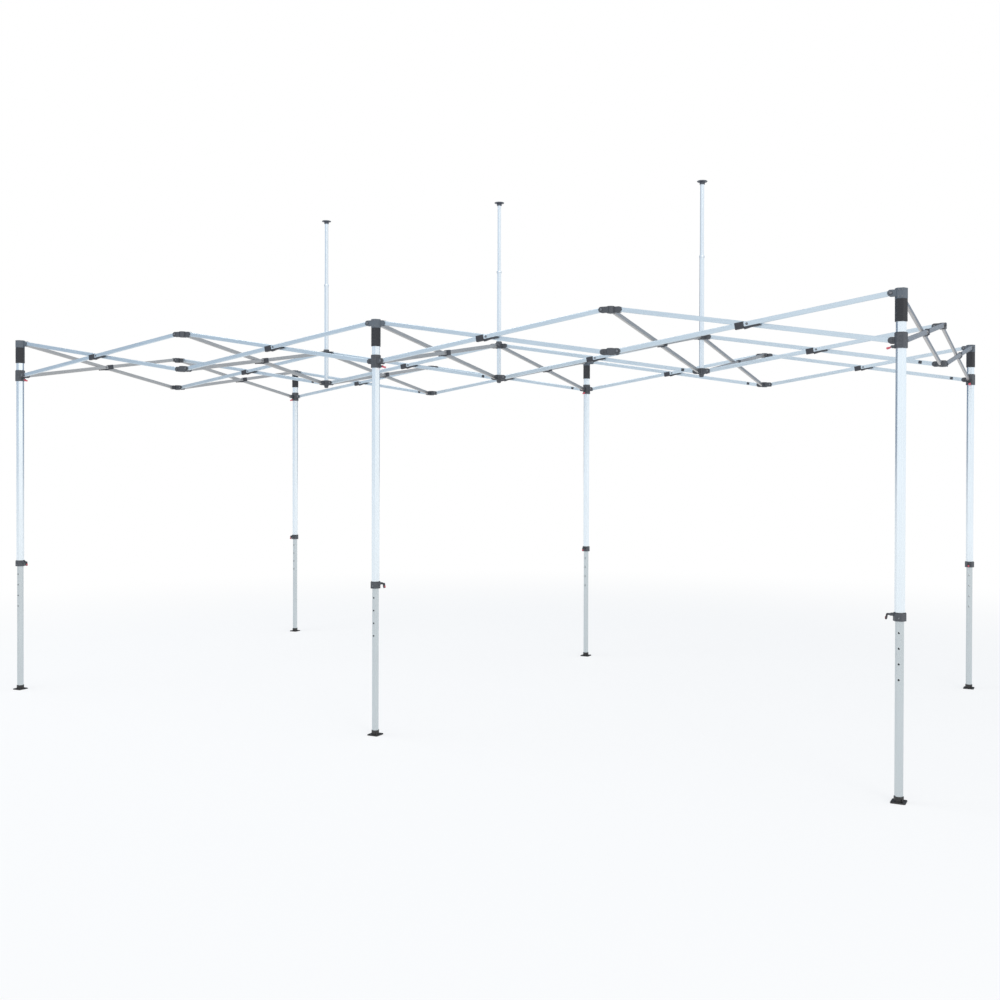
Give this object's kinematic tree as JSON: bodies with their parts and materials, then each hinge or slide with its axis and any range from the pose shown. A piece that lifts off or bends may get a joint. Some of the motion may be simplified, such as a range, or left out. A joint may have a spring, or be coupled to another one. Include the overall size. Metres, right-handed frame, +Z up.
{
  "type": "pop up canopy frame",
  "caption": "Folding canopy frame without its cloth: telescoping legs on foot plates, scissor trusses between sliding brackets, and raised peak poles.",
  "frame": {"origin": "on the ground, under the middle of the frame", "axes": "+X along the long side to the right of someone who faces the front, +Y from the front row of legs to the back row, +Z up"},
  "size_m": [6.112, 3.092, 3.4583],
  "materials": {
    "leg_tube": "satin",
    "inner_leg_tube": "satin",
    "foot_plastic": "matte",
    "lever_plastic": "matte",
    "pull_tab_plastic": "matte",
    "leg_top_plastic": "matte",
    "runner_plastic": "matte",
    "collar_plastic": "matte",
    "truss_bracket_plastic": "matte",
    "bar_metal": "satin",
    "saddle_plastic": "matte",
    "pole_tube": "satin",
    "pole_tip_tube": "satin",
    "disc_plastic": "matte"
  },
  "bodies": {
    "centre_row": {"truss_tops_centre": "truss_bracket_plastic", "long_bars_centre": "bar_metal", "long_saddles_centre": "saddle_plastic", "pole_sleeves": "pole_tube"},
    "centre_runners": {"truss_feet_centre": "truss_bracket_plastic"},
    "front_row": {"leg_tops_front": "leg_top_plastic", "truss_tops_front": "truss_bracket_plastic", "leg_collars_front": "collar_plastic", "long_bars_front": "bar_metal", "long_saddles_front": "saddle_plastic", "upper_leg_front_left": "leg_tube", "upper_leg_front_middle": "leg_tube", "upper_leg_front_right": "leg_tube"},
    "front_runners": {"runners_front": "runner_plastic", "truss_feet_front": "truss_bracket_plastic"},
    "front_rising": {"cross_bars_front_rising": "bar_metal"},
    "front_falling": {"cross_bars_front_falling": "bar_metal"},
    "back_row": {"leg_tops_back": "leg_top_plastic", "truss_tops_back": "truss_bracket_plastic", "leg_collars_back": "collar_plastic", "long_bars_back": "bar_metal", "long_saddles_back": "saddle_plastic", "upper_leg_back_left": "leg_tube", "upper_leg_back_middle": "leg_tube", "upper_leg_back_right": "leg_tube"},
    "back_runners": {"runners_back": "runner_plastic", "truss_feet_back": "truss_bracket_plastic"},
    "back_rising": {"cross_bars_back_rising": "bar_metal"},
    "back_falling": {"cross_bars_back_falling": "bar_metal"},
    "lower_leg_front_left": {"lower_leg_front_left": "inner_leg_tube", "foot_front_left": "foot_plastic"},
    "collar_lever_front_left": {"collar_lever_front_left": "lever_plastic"},
    "runner_lever_front_left": {"runner_lever_front_left": "pull_tab_plastic"},
    "lower_leg_front_middle": {"lower_leg_front_middle": "inner_leg_tube", "foot_front_middle": "foot_plastic"},
    "collar_lever_front_middle": {"collar_lever_front_middle": "lever_plastic"},
    "runner_lever_front_middle": {"runner_lever_front_middle": "pull_tab_plastic"},
    "lower_leg_front_right": {"lower_leg_front_right": "inner_leg_tube", "foot_front_right": "foot_plastic"},
    "collar_lever_front_right": {"collar_lever_front_right": "lever_plastic"},
    "runner_lever_front_right": {"runner_lever_front_right": "pull_tab_plastic"},
    "lower_leg_back_left": {"lower_leg_back_left": "inner_leg_tube", "foot_back_left": "foot_plastic"},
    "collar_lever_back_left": {"collar_lever_back_left": "lever_plastic"},
    "runner_lever_back_left": {"runner_lever_back_left": "pull_tab_plastic"},
    "lower_leg_back_middle": {"lower_leg_back_middle": "inner_leg_tube", "foot_back_middle": "foot_plastic"},
    "collar_lever_back_middle": {"collar_lever_back_middle": "lever_plastic"},
    "runner_lever_back_middle": {"runner_lever_back_middle": "pull_tab_plastic"},
    "lower_leg_back_right": {"lower_leg_back_right": "inner_leg_tube", "foot_back_right": "foot_plastic"},
    "collar_lever_back_right": {"collar_lever_back_right": "lever_plastic"},
    "runner_lever_back_right": {"runner_lever_back_right": "pull_tab_plastic"},
    "pole_tip_left": {"pole_tip_left": "pole_tip_tube", "pole_disc_left": "disc_plastic"},
    "pole_tip_middle": {"pole_tip_middle": "pole_tip_tube", "pole_disc_middle": "disc_plastic"},
    "pole_tip_right": {"pole_tip_right": "pole_tip_tube", "pole_disc_right": "disc_plastic"}
  },
  "joints": [
    {"name": "fold", "type": "hinge", "parent": "centre_row", "child": "front_rising", "pos_m": [0, -0.047, 2.44], "axis": [1, 0, 0], "range_deg": [0, 79.4]},
    {"name": "front_cross_pivot", "type": "hinge", "parent": "front_rising", "child": "front_falling", "pos_m": [0, -0.755, 2.328], "axis": [1, 0, 0], "range_deg": [-158.8, 0]},
    {"name": "front_runner_pivot", "type": "hinge", "parent": "front_rising", "child": "front_runners", "pos_m": [0, -1.463, 2.216], "axis": [1, 0, 0], "range_deg": [-79.4, 0]},
    {"name": "front_row_pivot", "type": "hinge", "parent": "front_falling", "child": "front_row", "pos_m": [0, -1.463, 2.44], "axis": [1, 0, 0], "range_deg": [0, 79.4]},
    {"name": "centre_runner_pivot", "type": "hinge", "parent": "front_falling", "child": "centre_runners", "pos_m": [0, -0.047, 2.216], "axis": [1, 0, 0], "range_deg": [0, 79.4]},
    {"name": "back_falling_pivot", "type": "hinge", "parent": "centre_row", "child": "back_falling", "pos_m": [0, 0.047, 2.44], "axis": [1, 0, 0], "range_deg": [-79.4, 0]},
    {"name": "back_cross_pivot", "type": "hinge", "parent": "back_falling", "child": "back_rising", "pos_m": [0, 0.755, 2.328], "axis": [1, 0, 0], "range_deg": [0, 158.8]},
    {"name": "back_runner_pivot", "type": "hinge", "parent": "back_falling", "child": "back_runners", "pos_m": [0, 1.463, 2.216], "axis": [1, 0, 0], "range_deg": [0, 79.4]},
    {"name": "back_row_pivot", "type": "hinge", "parent": "back_rising", "child": "back_row", "pos_m": [0, 1.463, 2.44], "axis": [1, 0, 0], "range_deg": [-79.4, 0]},
    {"name": "leg_height_front_left", "type": "slide", "parent": "front_row", "child": "lower_leg_front_left", "axis": [0, 0, 1], "range_m": [0, 0.8]},
    {"name": "collar_lever_front_left", "type": "hinge", "parent": "front_row", "child": "collar_lever_front_left", "pos_m": [-2.979, -1.51, 0.901], "axis": [0, -1, 0], "range_deg": [0, 35], "stiffness_Nm_per_rad": 0.3, "springref_deg": -11.46},
    {"name": "runner_lever_front_left", "type": "hinge", "parent": "front_runners", "child": "runner_lever_front_left", "pos_m": [-2.979, -1.51, 2.185], "axis": [0, 1, 0], "range_deg": [0, 25], "stiffness_Nm_per_rad": 0.3, "springref_deg": -11.46},
    {"name": "leg_height_front_middle", "type": "slide", "parent": "front_row", "child": "lower_leg_front_middle", "axis": [0, 0, 1], "range_m": [0, 0.8]},
    {"name": "collar_lever_front_middle", "type": "hinge", "parent": "front_row", "child": "collar_lever_front_middle", "pos_m": [0.041, -1.51, 0.901], "axis": [0, -1, 0], "range_deg": [0, 35], "stiffness_Nm_per_rad": 0.3, "springref_deg": -11.46},
    {"name": "runner_lever_front_middle", "type": "hinge", "parent": "front_runners", "child": "runner_lever_front_middle", "pos_m": [0.041, -1.51, 2.185], "axis": [0, 1, 0], "range_deg": [0, 25], "stiffness_Nm_per_rad": 0.3, "springref_deg": -11.46},
    {"name": "leg_height_front_right", "type": "slide", "parent": "front_row", "child": "lower_leg_front_right", "axis": [0, 0, 1], "range_m": [0, 0.8]},
    {"name": "collar_lever_front_right", "type": "hinge", "parent": "front_row", "child": "collar_lever_front_right", "pos_m": [2.979, -1.51, 0.901], "axis": [0, 1, 0], "range_deg": [0, 35], "stiffness_Nm_per_rad": 0.3, "springref_deg": -11.46},
    {"name": "runner_lever_front_right", "type": "hinge", "parent": "front_runners", "child": "runner_lever_front_right", "pos_m": [2.979, -1.51, 2.185], "axis": [0, -1, 0], "range_deg": [0, 25], "stiffness_Nm_per_rad": 0.3, "springref_deg": -11.46},
    {"name": "leg_height_back_left", "type": "slide", "parent": "back_row", "child": "lower_leg_back_left", "axis": [0, 0, 1], "range_m": [0, 0.8]},
    {"name": "collar_lever_back_left", "type": "hinge", "parent": "back_row", "child": "collar_lever_back_left", "pos_m": [-3.02, 1.469, 0.901], "axis": [-1, 0, 0], "range_deg": [0, 35], "stiffness_Nm_per_rad": 0.3, "springref_deg": -11.46},
    {"name": "runner_lever_back_left", "type": "hinge", "parent": "back_runners", "child": "runner_lever_back_left", "pos_m": [-3.02, 1.469, 2.185], "axis": [1, 0, 0], "range_deg": [0, 25], "stiffness_Nm_per_rad": 0.3, "springref_deg": -11.46},
    {"name": "leg_height_back_middle", "type": "slide", "parent": "back_row", "child": "lower_leg_back_middle", "axis": [0, 0, 1], "range_m": [0, 0.8]},
    {"name": "collar_lever_back_middle", "type": "hinge", "parent": "back_row", "child": "collar_lever_back_middle", "pos_m": [0, 1.469, 0.901], "axis": [-1, 0, 0], "range_deg": [0, 35], "stiffness_Nm_per_rad": 0.3, "springref_deg": -11.46},
    {"name": "runner_lever_back_middle", "type": "hinge", "parent": "back_runners", "child": "runner_lever_back_middle", "pos_m": [0, 1.469, 2.185], "axis": [1, 0, 0], "range_deg": [0, 25], "stiffness_Nm_per_rad": 0.3, "springref_deg": -11.46},
    {"name": "leg_height_back_right", "type": "slide", "parent": "back_row", "child": "lower_leg_back_right", "axis": [0, 0, 1], "range_m": [0, 0.8]},
    {"name": "collar_lever_back_right", "type": "hinge", "parent": "back_row", "child": "collar_lever_back_right", "pos_m": [3.02, 1.469, 0.901], "axis": [-1, 0, 0], "range_deg": [0, 35], "stiffness_Nm_per_rad": 0.3, "springref_deg": -11.46},
    {"name": "runner_lever_back_right", "type": "hinge", "parent": "back_runners", "child": "runner_lever_back_right", "pos_m": [3.02, 1.469, 2.185], "axis": [1, 0, 0], "range_deg": [0, 25], "stiffness_Nm_per_rad": 0.3, "springref_deg": -11.46},
    {"name": "pole_height_left", "type": "slide", "parent": "centre_row", "child": "pole_tip_left", "axis": [0, 0, -1], "range_m": [0, 0.45]},
    {"name": "pole_height_middle", "type": "slide", "parent": "centre_row", "child": "pole_tip_middle", "axis": [0, 0, -1], "range_m": [0, 0.45]},
    {"name": "pole_height_right", "type": "slide", "parent": "centre_row", "child": "pole_tip_right", "axis": [0, 0, -1], "range_m": [0, 0.45]}
  ],
  "couplings": [
    {"joint": "front_cross_pivot", "follows": "fold", "ratio": -2},
    {"joint": "front_runner_pivot", "follows": "fold", "ratio": -1},
    {"joint": "front_row_pivot", "follows": "fold", "ratio": 1},
    {"joint": "centre_runner_pivot", "follows": "fold", "ratio": 1},
    {"joint": "back_falling_pivot", "follows": "fold", "ratio": -1},
    {"joint": "back_cross_pivot", "follows": "fold", "ratio": 2},
    {"joint": "back_runner_pivot", "follows": "fold", "ratio": 1},
    {"joint": "back_row_pivot", "follows": "fold", "ratio": -1}
  ]
}
